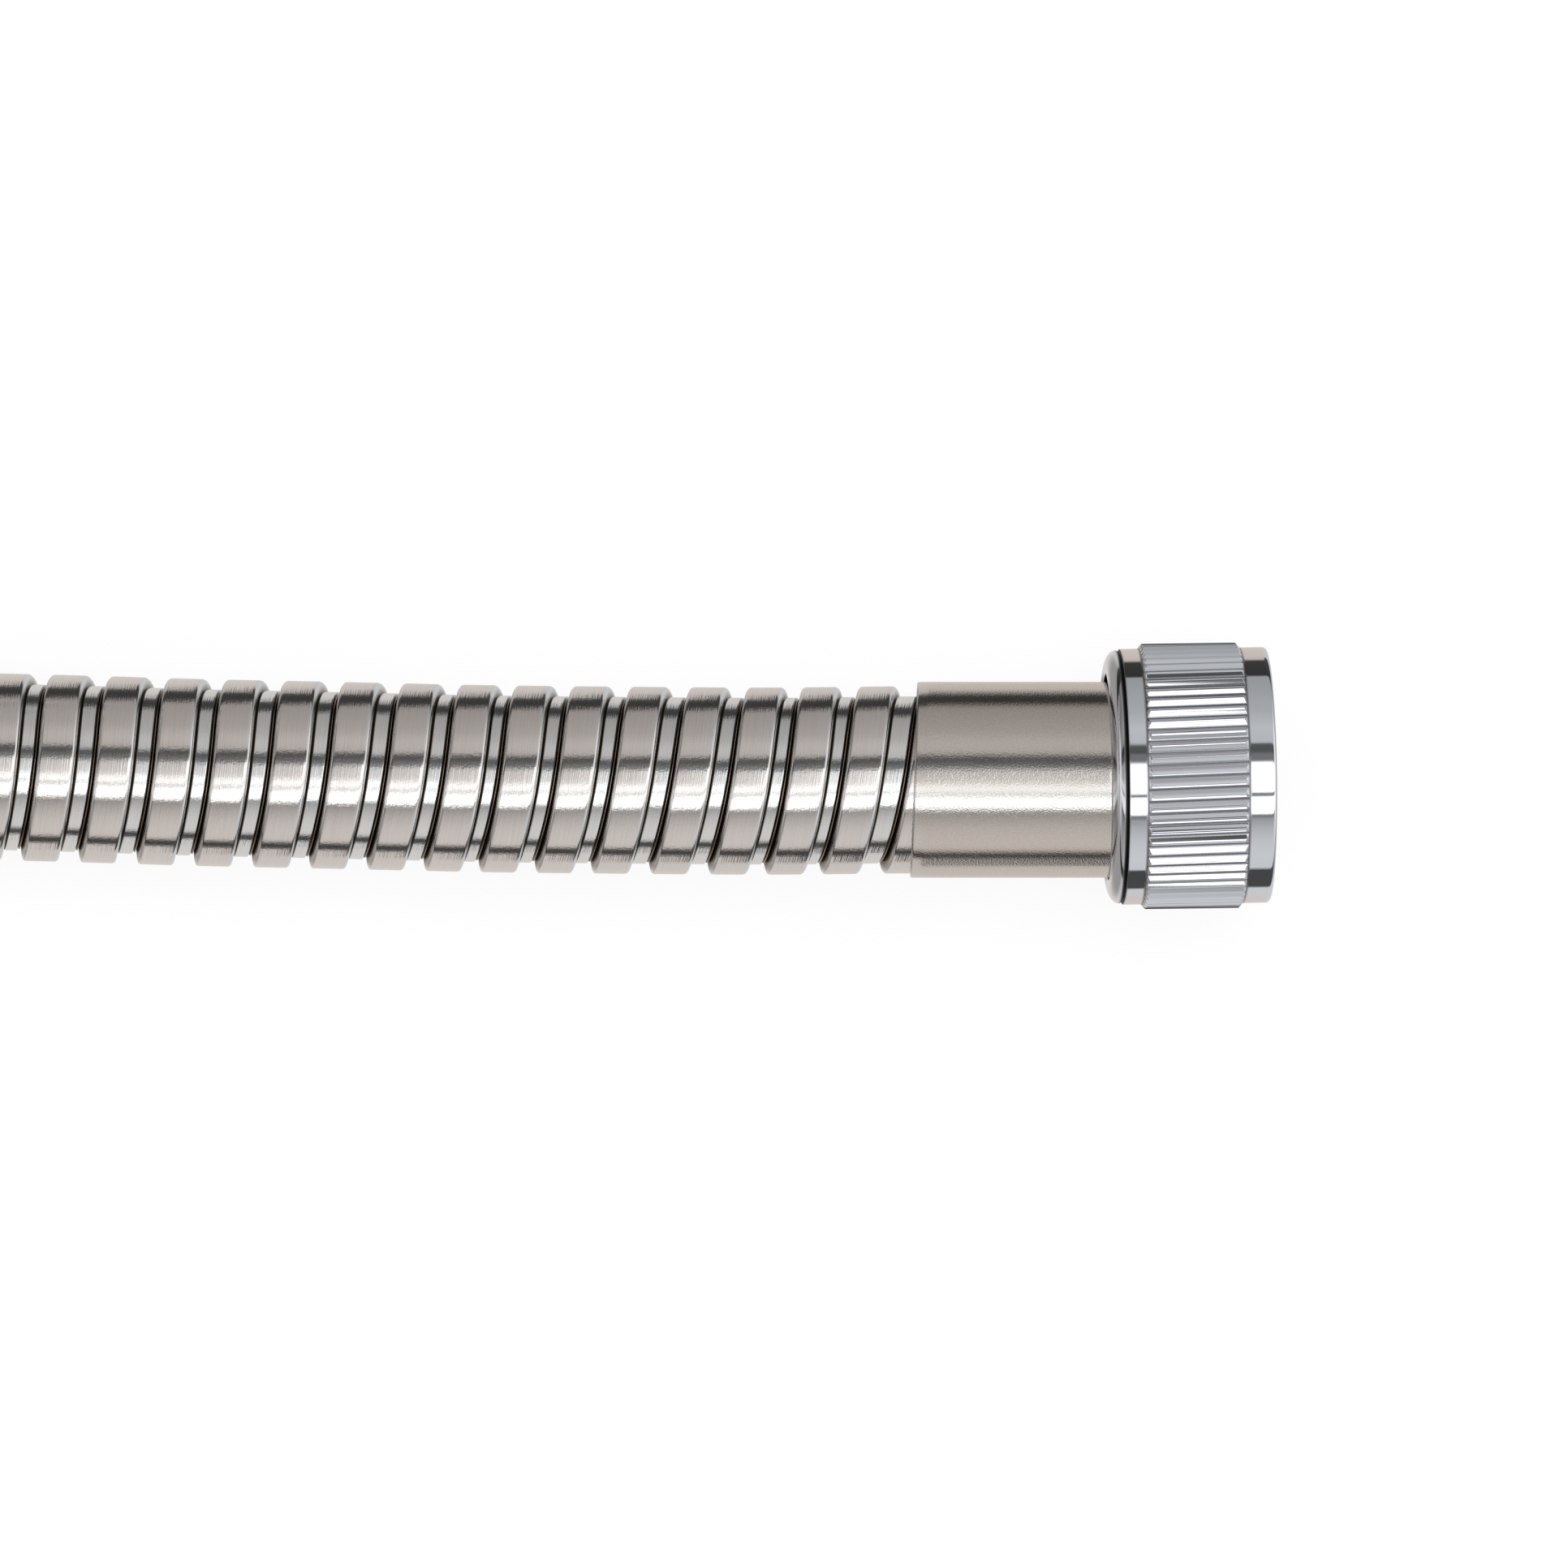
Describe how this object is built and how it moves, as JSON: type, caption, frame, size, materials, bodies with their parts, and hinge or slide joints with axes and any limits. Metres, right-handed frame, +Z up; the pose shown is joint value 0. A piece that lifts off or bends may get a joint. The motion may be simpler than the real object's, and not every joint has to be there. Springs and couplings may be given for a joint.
{
  "type": "shower hose",
  "caption": "Spiral-armoured steel shower hose with a knurled swivel nut at one end and a hexagonal swivel nut at the other, its spare length wound in a tied coil.",
  "frame": {"origin": "on the table under the middle of the knurled end fitting", "axes": "+X along the knurled fitting's axis, out of the hose; +Z up from the table"},
  "size_m": [0.3259, 0.213, 0.0463],
  "materials": {
    "knurled_nut_chrome": "polished chrome plate on brass, knurled band",
    "hex_nut_chrome": "polished chrome plate on brass",
    "washer_rubber": "matt black",
    "tail_brass": "machined",
    "sleeve_steel": "satin, finely speckled stainless steel",
    "inner_tube_plastic": "translucent white tube",
    "armour_steel": "bright rolled stainless strip with faint lengthways lines",
    "tie_band": "soft matt black band"
  },
  "bodies": {
    "hose": {"hose_tail": "tail_brass", "end_sleeve": "sleeve_steel", "inner_tube_end": "inner_tube_plastic", "hose_run": "armour_steel", "hose_coil": "armour_steel", "hose_top_run": "armour_steel", "coil_tie_top": "tie_band", "coil_tie_back": "tie_band", "far_hose_tail": "tail_brass", "far_sleeve": "sleeve_steel", "far_inner_tube_end": "inner_tube_plastic"},
    "knurled_nut": {"knurled_nut": "knurled_nut_chrome", "nut_washer": "washer_rubber"},
    "far_nut": {"far_nut": "hex_nut_chrome", "far_nut_washer": "washer_rubber"}
  },
  "joints": [
    {"name": "knurled_nut_swivel", "type": "hinge", "parent": "hose", "child": "knurled_nut", "pos_m": [0.00118, -0.00011, 0.01286], "axis": [0.9983, 0.0139, -0.0558], "continuous": true},
    {"name": "far_nut_swivel", "type": "hinge", "parent": "hose", "child": "far_nut", "pos_m": [-0.29195, 0.11422, 0.03246], "axis": [0, 1, 0], "continuous": true}
  ]
}
